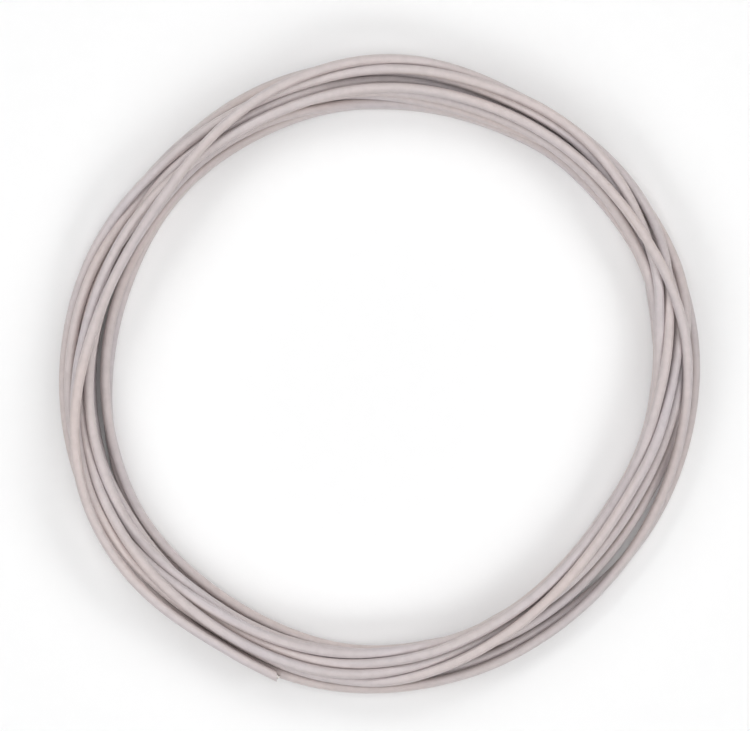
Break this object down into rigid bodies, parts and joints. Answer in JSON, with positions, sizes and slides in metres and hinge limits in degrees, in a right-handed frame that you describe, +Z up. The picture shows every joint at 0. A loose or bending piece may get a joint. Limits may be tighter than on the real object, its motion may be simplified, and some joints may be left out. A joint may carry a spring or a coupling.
{
  "type": "stranded wire coil",
  "caption": "Insulated stranded hook-up wire wound by hand into a loose round coil that lies flat, with both ends cut square.",
  "frame": {"origin": "middle of the coil's bounding box, at the surface it lies on", "axes": "+Z up out of the coil's plane, +Y towards the top of the view, +X to its right"},
  "size_m": [0.1287, 0.1278, 0.0121],
  "materials": {
    "insulation": "matt",
    "copper": "satin"
  },
  "bodies": {
    "root": {"insulation": "insulation", "conductor": "copper"}
  },
  "joints": []
}
